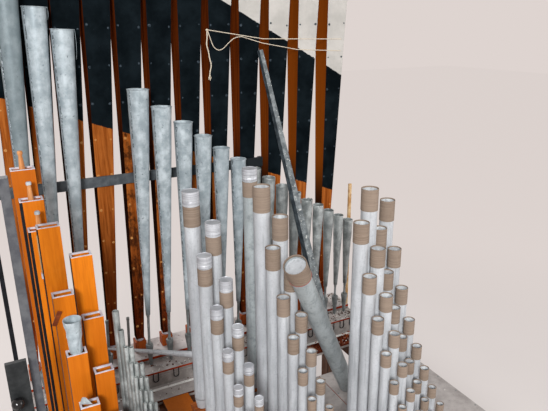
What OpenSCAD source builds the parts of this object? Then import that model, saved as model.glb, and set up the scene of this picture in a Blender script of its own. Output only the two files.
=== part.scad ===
// Inside of a pipe organ division: a reed row at the back, zigzag ranks of flue pipes in front.
// Millimetres. X runs along the reed row, Y goes to the back, Z is up from the floor.

/* [Chest and frame] */
// Width of the wind chests
chest_width = 2320; // [2310:10:3000]
// Depth of the whole part, front beam to back beam
chest_depth = 2170; // [2170:10:2600]
// Height of the toe boards above the floor
board_height = 950; // [500:10:1400]
// Height of a chest box
chest_height = 190; // [150:5:300]
// Thickness of every toe board
board_thick = 32; // [20:1:50]
// Section of legs and beams
beam = 90; // [60:5:140]
// Drop from the toe boards down to the walk planks
walk_drop = 100; // [80:5:140]

/* [Flue ranks] */
// Height of a pipe foot
foot_height = 180; // [120:5:260]
// Wall of the metal pipes
pipe_wall = 3; // [2.5:0.5:5]
// Pipes in each zigzag rank
rank_pipes = 18; // [8:1:22]
// Slack between a pipe foot and its hole in the rack board
rack_slack = 3; // [1:0.5:8]
// Thickness of a rack board
rack_thick = 12; // [8:1:20]
// Longest body of the capped rank
cap_length = 1147; // [700:1:1400]
// Longest body of the middle open rank
open_length = 1170; // [700:1:1400]
// Longest body of the right open rank
right_length = 1176; // [700:1:1400]
// Longest body of the outer open rank
outer_length = 1062; // [700:1:1400]
// Body of the single tall capped pipe
tall_length = 1212; // [900:1:1500]

/* [Reed row] */
// Number of square wooden resonators
trombone_count = 12; // [6:1:12]
// First spacing between wooden resonators
trombone_pitch = 152; // [148:1:156]
// Spacing against the spacing before
trombone_spread = 1.0385; // [1.02:0.0005:1.04]
// Length of the left wooden resonator
trombone_length = 2200; // [1900:10:2240]
// Width of a wooden resonator at its foot
trombone_tip = 51; // [46:1:60]
// Number of conical metal resonators
reed_count = 20; // [8:1:20]
// Length of the left metal reed, stem included
reed_length = 2281; // [1800:10:2400]
// Length of a metal reed against its left neighbour, among the first five
wide_reed_ratio = 0.951; // [0.94:0.001:0.96]
// The same among the others
reed_ratio = 0.9405; // [0.93:0.0005:0.955]
// Spacing of the first five metal reeds
reed_pitch = 126; // [124:1:130]

/* [Wooden flutes] */
// Number of square wooden flutes
flute_count = 13; // [6:1:14]
// Height of the tallest wooden flute above its board
flute_height = 1465; // [1300:1:2000]
// Width of the largest wooden flute
flute_width = 103; // [85:1:110]
// Depth of a wooden flute against its width
flute_depth = 0.66; // [0.6:0.01:0.8]
// Wall of a wooden flute
flute_wall = 8; // [6:1:10]

/* [Mixture] */
// Notes of the thin metal pipes, with up to three pipes each
mixture_notes = 10; // [4:1:12]
// Longest thin pipe body
mixture_length = 819; // [400:1:1000]

/* [Hidden] */
$fn = 48;

wood = [0.80, 0.45, 0.12];
dark = [0.30, 0.16, 0.08];
dusty = [0.55, 0.52, 0.49];
grey = [0.62, 0.64, 0.68];
tan = [0.62, 0.52, 0.43];
paint = [0.30, 0.33, 0.36];
cream = [0.85, 0.82, 0.74];

// Running clearance between pieces that seat on each other, and the overlap of fused shapes
seat = 0.1;
e = 0.02;

back = chest_depth / 2;
front = -chest_depth / 2;
half = chest_width / 2;
board_top = board_height;
chest_low = board_top - board_thick - chest_height;

// Front face of the rear chest, and back face of the front chest
rear_front = back - 357;
front_back = 220;
walk_top = board_top - walk_drop;

// Sum of the first k terms of a geometric row of spacings
function geo(first, ratio, k) = first * (1 - pow(ratio, k)) / (1 - ratio);

// Centre height of the low rim of a leaning round or square piece of half width r, seated on a surface
function rest_z(surface, r, low, high) =
    surface + seat + r * norm([high.x - low.x, high.y - low.y]) / norm(high - low);

// Places a child so that it runs from point a towards point b
module aim(a, b) {
    v = b - a;
    translate(a) rotate([0, acos(v.z / norm(v)), atan2(v.y, v.x)]) children();
}

module tube(outer, inner, high) {
    difference() {
        cylinder(d = outer, h = high);
        translate([0, 0, -1]) cylinder(d = inner, h = high + 2);
    }
}

module frustum(low, high, tall) {
    linear_extrude(height = tall, scale = high / low) square([low, low], center = true);
}

// Flue ranks: each pipe is [x, y, body diameter, body length], shorter by a fixed ratio at each step.
// Arguments: left row x, back pipe y, side of the longest pipe, its width and length, row gap and first
// step as shares of its width, then the ratios of width, length and step.
thinnest = 18;
function rank(x, y, side, width, length, gap, step, width_ratio, length_ratio, step_ratio) = [
    for (k = [0 : rank_pipes - 1]) [
        k % 2 == side ? x : x + width * gap,
        y - geo(width * step, step_ratio, k),
        max(width * pow(width_ratio, k), thinnest),
        length * pow(length_ratio, k)
    ]
];
cap_rank = rank(-282, 141, 0, 79, cap_length, 0.962, 0.962, 0.921, 0.872, 0.948);
open_rank = rank(6, -35, 0, 80, open_length, 0.85, 0.7125, 0.927, 0.878, 0.961);
right_rank = rank(343, -326, 1, 76, right_length, 0.921, 0.54, 0.929, 0.882, 0.972);
outer_rank = rank(539, -215, 1, 70, outer_length, 0.971, 0.543, 0.946, 0.885, 0.979);
tall_pipe = [[38, 165, 72, tall_length]];
body_base = board_top + foot_height;

// Body of one flue pipe with its mouth cut in the back, over a solid languid
module flue_body(d, l) {
    languid = pipe_wall + 1;
    difference() {
        cylinder(d = d, h = l);
        translate([0, 0, pipe_wall]) cylinder(d = d - 2 * pipe_wall, h = l);
        translate([-d * 0.36, d * 0.3, languid]) cube([d * 0.72, d, d * 0.26]);
    }
}

foot_tip = 16;
foot_shell = 4;

module foot(d) {
    difference() {
        cylinder(d1 = foot_tip, d2 = d - 1, h = foot_height - e);
        translate([0, 0, -1]) cylinder(d1 = foot_tip - 2 * foot_shell, d2 = d - 2 * foot_shell, h = foot_height - 6);
    }
}

module bodies(pipes) {
    for (p = pipes) translate([p[0], p[1], body_base]) flue_body(p[2], p[3]);
}

module feet(pipes) {
    for (p = pipes) translate([p[0], p[1], board_top]) foot(p[2]);
}

// Card or metal sleeves; high and rise are shares of the diameter, rise lifts the sleeve over the rim
sleeve_wall = 2;
module sleeves(pipes, high, rise) {
    for (p = pipes)
        translate([p[0], p[1], body_base + p[3] + p[2] * (rise - high)])
            tube(p[2] + 2 * sleeve_wall, p[2] + 2 * e, p[2] * high);
}

cap_share = 0.85;
cap_plate = 3;
module top_caps(pipes) {
    for (p = pipes) translate([p[0], p[1], body_base + p[3] - p[2] * cap_share])
        difference() {
            cylinder(d = p[2] + 2 * sleeve_wall, h = p[2] * cap_share + cap_plate);
            translate([0, 0, -1]) cylinder(d = p[2] + 2 * e, h = p[2] * cap_share + 1 + e);
        }
}

// Rack board with a round hole for each foot, on turned pillars that stand on the toe board
rack_share = 0.62;
pillar = 14;
rack_margin = 14;
module rack(pipes) {
    xs = [for (p = pipes) p[0]];
    ys = [for (p = pipes) p[1]];
    first = pipes[0][2];
    low = [min(xs) - first / 2 - rack_margin, min(ys) - first / 2 - 6];
    high = [max(xs) + first / 2 + rack_margin, max(ys) + first / 2 + 6];
    lift = foot_height * rack_share;
    difference() {
        translate([low.x, low.y, board_top + lift]) cube([high.x - low.x, high.y - low.y, rack_thick]);
        for (p = pipes) translate([p[0], p[1], board_top + lift - 1])
            cylinder(d = foot_tip + (p[2] - 1 - foot_tip) * (lift + rack_thick) / foot_height + rack_slack,
                h = rack_thick + 2);
    }
    for (x = [low.x + pillar * 0.6, high.x - pillar * 0.6], y = [low.y + pillar * 0.6, high.y - pillar * 0.6])
        translate([x, y, board_top]) cylinder(d = pillar, h = lift - seat);
}

// Wooden flutes: three stopped ones in a row at the back, then two columns of open ones, whose lengths
// fall by one ratio from pipe to pipe. Even steps after the third pipe are the left column
flute_foot = 110;
flute_row = 3;
flute_gap = [87, 135];
flute_fall = [0.916, 0.789];
function flute_step(k) = floor((k - flute_row) / 2);
function flute_left(k) = (k - flute_row) % 2 == 0;
function flute_w(k) = flute_width * pow(0.967, k);
function flute_x(k) = k < flute_row ? -977 + 13 * k : flute_left(k) ? -921 + 12 * flute_step(k) : -807 + 2 * flute_step(k);
function flute_front(k) = k < flute_row ? 378 - flute_gap[0] * k
    : (flute_left(k) ? 133 : 95) - flute_gap[1] * flute_step(k);
function flute_y(k) = flute_front(k) + flute_w(k) * flute_depth / 2;
function flute_l(k) = k < flute_row ? flute_height * pow(flute_fall[0], k)
    : flute_height * (flute_left(k) ? 0.861 : 0.764) * pow(flute_fall[1], flute_step(k));

// Legs stand under every crossing of the beams
leg_height = chest_low - beam;
leg_x = [-half, -beam / 2, half - beam];
leg_y = [front, -beam / 2, back - beam];

module legs() {
    color(dark) for (x = leg_x, y = leg_y) translate([x, y, 0]) cube([beam, beam, leg_height]);
}

// Three long beams along the chests, with short ones between them at both ends
module beams() {
    color(dark) {
        for (y = leg_y) translate([-half, y, leg_height + e]) cube([chest_width, beam, beam - 2 * e]);
        for (x = [-half, half - beam], k = [0, 1])
            translate([x, leg_y[k] + beam + seat, leg_height + e])
                cube([beam, leg_y[k + 1] - leg_y[k] - beam - 2 * seat, beam - 2 * e]);
    }
}

module rear_chest() {
    color(wood) translate([-half, rear_front, chest_low]) cube([chest_width, back - rear_front, chest_height]);
}

module rear_board() {
    color(dusty) translate([-half, rear_front, board_top - board_thick])
        cube([chest_width, back - rear_front, board_thick]);
}

// Raised board that carries the boots of the wooden resonators
riser = 30;
module wood_board() {
    color(dusty) translate([-half, reed_y + 32, board_top]) cube([chest_width, back - reed_y - 32, riser]);
}

module front_chest() {
    color(wood) translate([-half, front, chest_low]) cube([chest_width, front_back - front, chest_height]);
}

// Side chest that carries the two largest wooden flutes behind the front chest
flute_chest_left = flute_x(0) - 63;
flute_chest_size = [180, flute_y(0) + flute_width * 0.66 - front_back];
module flute_chest() {
    color(wood) translate([flute_chest_left, front_back + seat, chest_low])
        cube([flute_chest_size.x, flute_chest_size.y, chest_height]);
}

// Toe boards, one for each group of pipes, and one on the side chest
board_splits = [-half, -560, -90, 210, 500, half];
module front_boards() {
    color(dusty) {
        for (k = [0 : len(board_splits) - 2])
            translate([board_splits[k] + (k == 0 ? 0 : 1), front, board_top - board_thick])
                cube([board_splits[k + 1] - board_splits[k] - (k == 0 ? 1 : 2), front_back - front, board_thick]);
        translate([flute_chest_left, front_back + 1, board_top - board_thick])
            cube([flute_chest_size.x, flute_chest_size.y, board_thick]);
    }
}

// Bearers across the gap between the two chests
bearer = 60;
module walk_bearers() {
    color(dark) for (x = [flute_chest_left - bearer - 20, -420, -250, 300, 470, half - 100])
        translate([x, front_back + seat, walk_top - board_thick - bearer])
            cube([bearer, rear_front - front_back - 2 * seat, bearer]);
}

// Loose planks on the bearers: a ledge below the rear board, a plank along it and two across
module walk_boards() {
    z = walk_top - board_thick;
    ledge = 44;
    plank = 102;
    across = [front_back + 22, rear_front - ledge - plank - 6 - front_back - 22];
    color(dusty) {
        translate([-half, rear_front - ledge, z]) cube([chest_width, ledge - seat, board_thick]);
        translate([-half, rear_front - ledge - plank - 3, z]) cube([chest_width, plank, board_thick]);
    }
    color(wood) {
        difference() {
            translate([-393, across[0], z]) cube([162, across[1], board_thick]);
            translate([-344, rear_front - 233, z - 1]) cylinder(d = 26, h = board_thick + 2);
        }
        translate([330, across[0], z]) cube([170, across[1], board_thick]);
    }
}

// Bent strap hook, one below each reed on the front of the rear chest
hook_gap = 26;
hook_bar = 5;
hook_drop = 44;
module hook() {
    for (side = [-1, 1]) translate([side * (hook_gap + hook_bar) / 2 - hook_bar / 2, 0, -hook_drop])
        cube([hook_bar, hook_bar, hook_drop]);
    translate([0, hook_bar, -hook_drop + e]) rotate([90, 0, 0]) rotate([0, 0, 180])
        rotate_extrude(angle = 180) translate([hook_gap / 2, 0]) square(hook_bar);
}

module edge_hooks() {
    color(grey) for (k = [0 : reed_count - 1])
        translate([reed_x(k), rear_front - hook_bar - seat, board_top - 8]) hook();
}

// Reed row, places and sizes along the chest
reed_y = back - 255;
wood_y = back - 100;
reed_break = 5;
function wood_x(k) = -1057 + geo(trombone_pitch, trombone_spread, k);
function wood_lean(k) = 3.2 - 0.16 * k;
function wood_l(k) = trombone_length * pow(0.998, k);
wood_flare = 0.043;
function reed_x(k) = k < reed_break ? -1016 + reed_pitch * k
    : -1016 + reed_pitch * reed_break + geo(reed_pitch * 1.048, 0.965, k - reed_break);
function reed_lean(k) = 2.6 - 0.08 * k;
function reed_l(k) = k < reed_break ? reed_length * pow(wide_reed_ratio, k)
    : reed_length * pow(wide_reed_ratio, reed_break) * 0.982 * pow(reed_ratio, k - reed_break);
function reed_d(k) = k < reed_break ? 50 + 0.032 * reed_l(k) : 44 + 0.045 * reed_l(k);

boot_block = 80;
boot_ring = 14;
boot_width = 72;
module wood_boots() {
    color(wood) for (k = [0 : trombone_count - 1]) translate([wood_x(k), wood_y, board_top + riser]) {
        translate([-boot_width / 2, -boot_width / 2, 0]) cube([boot_width, boot_width, boot_block]);
        translate([0, 0, boot_block - e]) tube(54, 30, boot_ring);
    }
}

// Height of a wooden resonator's foot above the toe boards: its low corner seats on the boot's ring
function wood_seat(k) = riser + boot_block + boot_ring + seat + trombone_tip / 2 * sin(wood_lean(k));

module wood_resonators() {
    wall = 12;
    color(dark) for (k = [0 : trombone_count - 1]) {
        top = trombone_tip + wood_l(k) * wood_flare;
        translate([wood_x(k), wood_y, board_top + wood_seat(k)]) rotate([0, wood_lean(k), 0]) difference() {
            frustum(trombone_tip, top, wood_l(k));
            translate([0, 0, -1]) frustum(trombone_tip - 1.8 * wall, top - 2 * wall, wood_l(k) + 2);
        }
    }
}

reed_boot = 150;
function reed_stem(k) = 0.118 * reed_l(k);
stem_width = 20;
missing_reeds = [3, 4];
module reed_boots() {
    color(grey) for (k = [0 : reed_count - 1]) translate([reed_x(k), reed_y, board_top]) {
        cylinder(d1 = stem_width, d2 = 46, h = reed_boot);
        translate([0, 0, reed_boot + 0.4 + seat]) rotate([0, reed_lean(k), 0])
            cylinder(d = stem_width, h = reed_stem(k));
    }
}

module reed_resonators() {
    color(grey) for (k = [0 : reed_count - 1]) if (len(search(k, missing_reeds)) == 0) {
        l = reed_l(k) - reed_boot - reed_stem(k);
        translate([reed_x(k), reed_y, board_top + reed_boot + 0.4 + seat]) rotate([0, reed_lean(k), 0])
            translate([0, 0, reed_stem(k) + seat]) difference() {
                cylinder(d1 = stem_width + 10, d2 = reed_d(k), h = l);
                translate([0, 0, pipe_wall])
                    cylinder(d1 = stem_width + 10 - 2 * pipe_wall, d2 = reed_d(k) - 2 * pipe_wall, h = l);
            }
    }
}

// Flat rail in front of the wooden resonators, on two posts
rail_height = 1190;
rail = [16, 60];
rail_end = (wood_x(8) + wood_x(9)) / 2 + 38;
module reed_rail() {
    face = wood_y - (trombone_tip + wood_flare * (rail_height + rail[1])) / 2 - rail[0];
    color(paint) {
        translate([-half, face, board_top + rail_height]) cube([rail_end + half, rail[0], rail[1]]);
        for (x = [-half, rail_end - 24]) translate([x, face + rail[0] + seat, board_top + riser])
            cube([24, 20, rail_height + rail[1] - riser]);
    }
}

module cap_bodies() { color(grey) { bodies(cap_rank); bodies(tall_pipe); } }
module cap_feet() { color(grey) { feet(cap_rank); feet(tall_pipe); } }
module cap_sleeves() { color(tan) { sleeves(cap_rank, 1.28, -0.88); sleeves(tall_pipe, 1.1, -0.88); } }
module caps() { color(grey) { top_caps(cap_rank); top_caps(tall_pipe); } }
module cap_rack() { color(wood) { rack(cap_rank); rack(tall_pipe); } }
module open_bodies() { color(grey) bodies(open_rank); }
module open_feet() { color(grey) feet(open_rank); }
module open_sleeves() { color(tan) sleeves(open_rank, 1.55, 0.1); }
module open_rack() { color(wood) rack(open_rank); }
module right_bodies() { color(grey) bodies(right_rank); }
module right_feet() { color(grey) feet(right_rank); }
module right_sleeves() { color(tan) sleeves(right_rank, 1.35, 0.1); }
module right_rack() { color(wood) rack(right_rank); }
module outer_bodies() { color(grey) bodies(outer_rank); }
module outer_feet() { color(grey) feet(outer_rank); }
module outer_sleeves() { color(tan) sleeves(outer_rank, 1.5, 0.1); }
module outer_rack() { color(wood) rack(outer_rank); }

module flute_bodies() {
    color(wood) for (k = [0 : flute_count - 1]) {
        w = [flute_w(k), flute_w(k) * flute_depth];
        inner = w - 2 * [flute_wall, flute_wall];
        translate([flute_x(k), flute_y(k), board_top + flute_foot]) difference() {
            translate([-w.x / 2, -w.y / 2, 0]) cube([w.x, w.y, flute_l(k) - flute_foot]);
            translate([-inner.x / 2, -inner.y / 2, 12]) cube([inner.x, inner.y, flute_l(k)]);
        }
    }
}

module flute_feet() {
    color(wood) for (k = [0 : flute_count - 1])
        translate([flute_x(k), flute_y(k), board_top]) cylinder(d1 = 18, d2 = 34, h = flute_foot);
}

// Stoppers in the three largest flutes, each with a tapered handle that has a turned knob
stopper = 60;
handle = 88;
module flute_stoppers() {
    color(wood) for (k = [0 : flute_row - 1]) {
        w = [flute_w(k), flute_w(k) * flute_depth] - 2 * [flute_wall + e, flute_wall + e];
        translate([flute_x(k), flute_y(k), board_top + flute_l(k) - stopper - 8]) {
            translate([-w.x / 2, -w.y / 2, 0]) cube([w.x, w.y, stopper]);
            translate([0, 0, stopper - e]) cylinder(d1 = 26, d2 = 18, h = handle);
            translate([0, 0, stopper + handle - 18]) cylinder(d = 24, h = 18);
        }
    }
}

// Thin pipes: up to three for each note, side by side, in a line of notes that runs to the front
mixture_foot = 120;
mixture_step = [9, -26];
mixture_side = [21, -6];
mixture_at = [-726, -130];
function mix_place(j, r) = mixture_at + mixture_step * j + mixture_side * r;
function mix_d(j) = max(28 * pow(0.87, j), 15);
function mix_l(j, r) = mixture_length * pow(0.905, j) - 4 * r;

// Notes and ranks that have a pipe: the second and third ranks start later than the first
mixture_start = [0, 2, 3];
mixture = [for (j = [0 : mixture_notes - 1], r = [0 : 2]) if (j >= mixture_start[r]) [j, r]];

module mixture_pipes() {
    color(grey) for (m = mixture)
        translate([each mix_place(m[0], m[1]), board_top + mixture_foot]) tube(mix_d(m[0]), mix_d(m[0]) - 6, mix_l(m[0], m[1]));
}

module mixture_feet() {
    color(grey) for (m = mixture)
        translate([each mix_place(m[0], m[1]), board_top]) cylinder(d1 = 9, d2 = mix_d(m[0]) - 1, h = mixture_foot);
}

module mixture_rack() {
    lift = 60;
    margin = 24;
    last = mix_place(mixture_notes - 1, 2);
    low = [mixture_at.x - margin, last.y - margin];
    high = [last.x + margin, mixture_at.y + margin];
    color(wood) {
        difference() {
            translate([low.x, low.y, board_top + lift]) cube([high.x - low.x, high.y - low.y, 10]);
            for (m = mixture) translate([each mix_place(m[0], m[1]), board_top + lift - 1])
                cylinder(d = 9 + (mix_d(m[0]) - 10) * (lift + 12) / mixture_foot + 2, h = 12);
        }
        for (x = [low.x + 8, high.x - 8], y = [low.y + 8, high.y - 8])
            translate([x, y, board_top]) cylinder(d = 12, h = lift - seat);
    }
}

// Flared piece of grey metal left standing on the rim of an open flute
flared = [52, 78, 150];
flared_on = 7;
module loose_cylinder() {
    color(grey) translate([flute_x(flared_on), flute_y(flared_on), board_top + flute_l(flared_on) + seat]) difference() {
        cylinder(d1 = flared[0], d2 = flared[1], h = flared[2]);
        translate([0, 0, -1]) cylinder(d1 = flared[0] - 2 * pipe_wall, d2 = flared[1] - 2 * pipe_wall, h = flared[2] + 2);
    }
}

// Thick pipe that has fallen across the ranks
fallen_width = 96;
fallen_foot = [587, 40, board_top];
fallen_high = [-6, -378, board_top + 1095];
fallen_low = [fallen_foot.x, fallen_foot.y, rest_z(board_top, fallen_width / 2, fallen_foot, fallen_high)];
fallen_long = norm(fallen_high - fallen_low);

module fallen_pipe() {
    color(grey) aim(fallen_low, fallen_high) tube(fallen_width, fallen_width - 2 * pipe_wall, fallen_long - 10);
}

module fallen_sleeve() {
    color(tan) aim(fallen_low, fallen_high) translate([0, 0, fallen_long - 96])
        tube(fallen_width + 10, fallen_width + 2 * e, 96);
}

// Reed cone that lies against the reed boots
cone_big = 45;
cone_small = 14;
cone_thin = [-642, reed_y - stem_width / 2 - cone_small / 2 - 1.2, board_top + 202];
cone_floor = [-60, rear_front + 10, board_top];
cone_thick = [cone_floor.x, cone_floor.y, rest_z(board_top, cone_big / 2, cone_floor, cone_thin)];

module fallen_cone() {
    color(grey) aim(cone_thin, cone_thick)
        cylinder(d1 = cone_small, d2 = cone_big, h = norm(cone_thick - cone_thin));
}

// Long tapered bar that leans from the walk planks against the wooden resonators
bar_foot = 80;
bar_tip = 34;
bar_floor = [819, rear_front - 142, walk_top];
bar_high_z = walk_top + 2025;
bar_high = [462, wood_y - (trombone_tip + wood_flare * (bar_high_z - board_top - 126)) / 2 - bar_tip / 2 - 1.5, bar_high_z];
bar_low = [bar_floor.x, bar_floor.y, rest_z(walk_top, bar_foot / 2, bar_floor, bar_high)];

module leaning_bar() {
    color(paint) aim(bar_low, bar_high) frustum(bar_foot, bar_tip, norm(bar_high - bar_low));
}

// Post and board at the left of the flutes, and a light stick at the right end of the reed row
module left_post() {
    color(paint) translate([-half + 80, -280, board_top]) cube([32, 46, 1592]);
}

module side_board() {
    knob_at = [-half + 24, -320, board_top + 772];
    color(paint) {
        translate([-half + 2, -320, board_top]) cube([72, 20, 924]);
        translate(knob_at + [0, e, 0]) rotate([90, 0, 0]) cylinder(d = 16, h = 16);
        translate(knob_at + [0, -26, 0]) sphere(d = 44);
    }
}

module end_stick() {
    color(cream) translate([half - 24, reed_y + 38, board_top + riser]) cube([22, 16, 956]);
}

// String tied round five wooden resonators; its routes lie just off their front faces. Each one is a
// closed tube of changing width, with its rings square to Z for the loose end and to X for the others
string_width = 5;
string_sides = 8;
function string_y(z) = wood_y - (trombone_tip + wood_flare * (z - board_top - 126)) / 2 - string_width / 2 - 0.6;
function on_face(x, z) = [x, string_y(board_top + z), board_top + z];

module string_along(route, widths, level) {
    rings = len(route);
    points = [for (k = [0 : rings - 1], s = [0 : string_sides - 1]) let (a = s * 360 / string_sides)
        route[k] + widths[k] / 2 * (level ? [cos(a), sin(a), 0] : [0, sin(a), cos(a)])];
    faces = concat(
        [[for (s = [0 : string_sides - 1]) s]],
        [for (r = [0 : rings - 2], s = [0 : string_sides - 1]) let (t = (s + 1) % string_sides, i = r * string_sides)
            [i + s, i + string_sides + s, i + string_sides + t, i + t]],
        [[for (s = [string_sides - 1 : -1 : 0]) (rings - 1) * string_sides + s]]);
    polyhedron(points = points, faces = faces);
}

// The upper strand starts in a knot beside the first of the tied resonators
string_start = on_face(127, 2046);
knot_rings = [[-7, 4], [-5, 10], [-2, 14], [2, 14], [5, 10], [7, 5]];
upper_route = concat([for (r = knot_rings) string_start + [r[0], 0, 0]],
    [on_face(490, 1990), on_face(1066, 1978)]);
upper_widths = concat([for (r = knot_rings) r[1]], [string_width, string_width]);
lower_route = [on_face(345, 2006), on_face(487, 1965), on_face(734, 1920), on_face(1066, 1903)];
module tie_string() {
    color(cream) {
        string_along(upper_route, upper_widths, false);
        string_along(lower_route, [4, string_width, string_width, string_width], false);
    }
}

// Loose end of the string, hanging from the knot; offsets from the knot's low side, chosen by hand
tail_width = 7;
tail_drops = [[0, 0, 0], [0, -1, -14], [-1, -2, -30], [-3, -3, -46], [-5, -3, -62], [-5, -2, -78], [-2, -2, -94],
    [2, -3, -110], [5, -3, -126], [7, -2, -142], [10, -2, -158], [14, -2, -173], [17, -2, -188], [16, -2, -203],
    [12, -2, -217], [8, -2, -231], [6, -2, -245]];
tail_start = string_start - [0, 0, 7 + seat];
module string_tail() {
    color(cream) string_along([for (p = tail_drops) tail_start + p], [for (p = tail_drops) tail_width], true);
}

legs();
beams();
rear_chest();
rear_board();
front_chest();
front_boards();
flute_chest();
wood_board();
walk_bearers();
walk_boards();
edge_hooks();
wood_boots();
wood_resonators();
reed_boots();
reed_resonators();
reed_rail();
cap_bodies();
cap_feet();
cap_sleeves();
caps();
cap_rack();
open_bodies();
open_feet();
open_sleeves();
open_rack();
right_bodies();
right_feet();
right_sleeves();
right_rack();
outer_bodies();
outer_feet();
outer_sleeves();
outer_rack();
flute_bodies();
flute_feet();
flute_stoppers();
mixture_pipes();
mixture_feet();
mixture_rack();
loose_cylinder();
fallen_pipe();
fallen_sleeve();
fallen_cone();
leaning_bar();
left_post();
side_board();
end_stick();
tie_string();
string_tail();
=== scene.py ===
"""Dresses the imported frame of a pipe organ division: metal flues, reeds, wooden pipes and dusty boards.

Every place and size comes from the solids of the frame. Units are metres, Z is up.
"""
from itertools import product
from math import cos, pi, radians, sin, sqrt
from random import random, seed, uniform

import bpy
import numpy as np
from mathutils import Matrix, Vector, noise


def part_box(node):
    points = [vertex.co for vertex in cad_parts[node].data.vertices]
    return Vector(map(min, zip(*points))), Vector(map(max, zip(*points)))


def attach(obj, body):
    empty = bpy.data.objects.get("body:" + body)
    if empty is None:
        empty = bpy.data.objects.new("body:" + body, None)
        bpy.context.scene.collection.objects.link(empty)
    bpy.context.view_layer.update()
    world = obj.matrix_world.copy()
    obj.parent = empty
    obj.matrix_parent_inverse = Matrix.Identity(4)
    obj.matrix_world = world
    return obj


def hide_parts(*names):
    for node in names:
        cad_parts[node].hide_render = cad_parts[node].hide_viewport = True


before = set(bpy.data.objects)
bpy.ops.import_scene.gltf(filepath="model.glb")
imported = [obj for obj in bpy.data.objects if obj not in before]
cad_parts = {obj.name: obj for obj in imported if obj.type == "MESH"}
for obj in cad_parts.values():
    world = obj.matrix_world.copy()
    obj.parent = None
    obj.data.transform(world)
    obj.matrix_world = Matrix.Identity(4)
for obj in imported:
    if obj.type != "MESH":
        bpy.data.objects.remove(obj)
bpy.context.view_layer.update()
seed(41)

MM = 0.001
SCENE = bpy.context.scene
BOARD_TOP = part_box("front_boards")[1][2]


# Camera: it looks down at the pipes from the left
PHOTO_WIDTH = 548
SENSOR_WIDTH = 36
FOCAL_PIXELS = 554
CAMERA_AT = Vector((-1.070, -2.275, 3.020))
CAMERA_DOWN, CAMERA_TURN, CAMERA_ROLL = (radians(a) for a in (18.05, 27, -0.55))


def make_camera():
    """A camera at the photograph's place."""
    turn = (Matrix.Rotation(-CAMERA_TURN, 4, "Z") @ Matrix.Rotation(pi / 2 - CAMERA_DOWN, 4, "X")
            @ Matrix.Rotation(CAMERA_ROLL, 4, "Z"))
    data = bpy.data.cameras.new("camera")
    data.sensor_width = SENSOR_WIDTH
    data.lens = SENSOR_WIDTH * FOCAL_PIXELS / PHOTO_WIDTH
    data.clip_end = 200
    cam = bpy.data.objects.new("camera", data)
    cam.matrix_world = Matrix.Translation(CAMERA_AT) @ turn
    SCENE.collection.objects.link(cam)
    SCENE.camera = cam


make_camera()


# Node trees


def colour(value):
    """Linear colour from screen values of 0 to 255."""
    if isinstance(value, bpy.types.NodeSocket):
        return value
    linear = [(c / 255 / 12.92) if c / 255 <= 0.04045 else ((c / 255 + 0.055) / 1.055) ** 2.4 for c in value]
    return (*linear, 1)


class Tree:
    """The nodes of a material or a world."""

    def __init__(self, owner):
        owner.use_nodes = True
        self.owner, self.tree = owner, owner.node_tree

    def fill(self, node, inputs):
        """Sets inputs to values, or links them to outputs."""
        for key, value in inputs.items():
            if isinstance(value, bpy.types.NodeSocket):
                self.tree.links.new(value, node.inputs[key])
            else:
                node.inputs[key].default_value = value

    def add(self, kind, inputs=None, **settings):
        node = self.tree.nodes.new("ShaderNode" + kind)
        for key, value in settings.items():
            setattr(node, key, value)
        self.fill(node, inputs or {})
        return node

    def math(self, operation, a, b=0):
        return self.add("Math", {0: a, 1: b}, operation=operation).outputs[0]


class Nodes(Tree):
    """A material: a base colour with layers over it, and relief."""

    def __init__(self, name):
        super().__init__(bpy.data.materials.new(name))
        self.shader = self.tree.nodes["Principled BSDF"]
        self.place = self.add("TexCoord").outputs["Object"]
        self.base = self.relief = None

    def noise(self, scale, detail=4, rough=0.55, stretch=None, distortion=0):
        place = self.place
        if stretch:
            place = self.add("Mapping", {"Vector": place, "Scale": stretch}).outputs["Vector"]
        return self.add("TexNoise", {"Vector": place, "Scale": scale, "Detail": detail, "Roughness": rough,
                                     "Distortion": distortion}).outputs["Fac"]

    def range(self, value, low, high, to_low=0, to_high=1):
        inputs = {"Value": value, "From Min": low, "From Max": high, "To Min": to_low, "To Max": to_high}
        return self.add("MapRange", inputs, interpolation_type="SMOOTHSTEP").outputs["Result"]

    def mix(self, factor, a, b):
        return self.add("Mix", {"Factor": factor, 6: colour(a), 7: colour(b)}, data_type="RGBA").outputs[2]

    def ramp(self, value, low, high, a, b):
        """Goes from colour a to colour b as a value goes from low to high."""
        return self.mix(self.range(value, low, high), a, b)

    def lay(self, mask, share, other):
        """Lays a share of another colour over the base."""
        self.base = self.mix(self.math("MULTIPLY", mask, share), self.base, other)

    def layer(self, value, low, high, share, other):
        self.lay(self.range(value, low, high), share, other)

    def xyz(self, vector=None):
        return self.add("SeparateXYZ", {0: vector or self.place}).outputs

    def normal(self):
        return self.xyz(self.add("NewGeometry").outputs["Normal"])

    def tint(self):
        return self.add("Attribute", attribute_name="tint").outputs["Fac"]

    def bump(self, height, strength, distance):
        node = self.add("Bump", {"Height": height, "Strength": strength, "Distance": distance})
        if self.relief:
            self.fill(node, {"Normal": self.relief})
        self.relief = node.outputs["Normal"]

    def finish(self, rough, metallic=0, shine=0.5):
        self.fill(self.shader, {"Base Color": self.base, "Roughness": rough, "Metallic": metallic,
                                "Specular IOR Level": shine})
        if self.relief:
            self.fill(self.shader, {"Normal": self.relief})
        return self.owner


# Materials
LENGTHWISE = (3, 45, 45)
UPWARDS = (45, 45, 3)

# Paint on the wooden resonators lies between two straight lines across their fronts: (x, z, slope)
WHITE_ABOVE = (0.225, 3.161, -0.5457)
BARE_BELOW = (-0.806, 2.597, -0.3835)
PAINT_EDGE = 0.002


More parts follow.
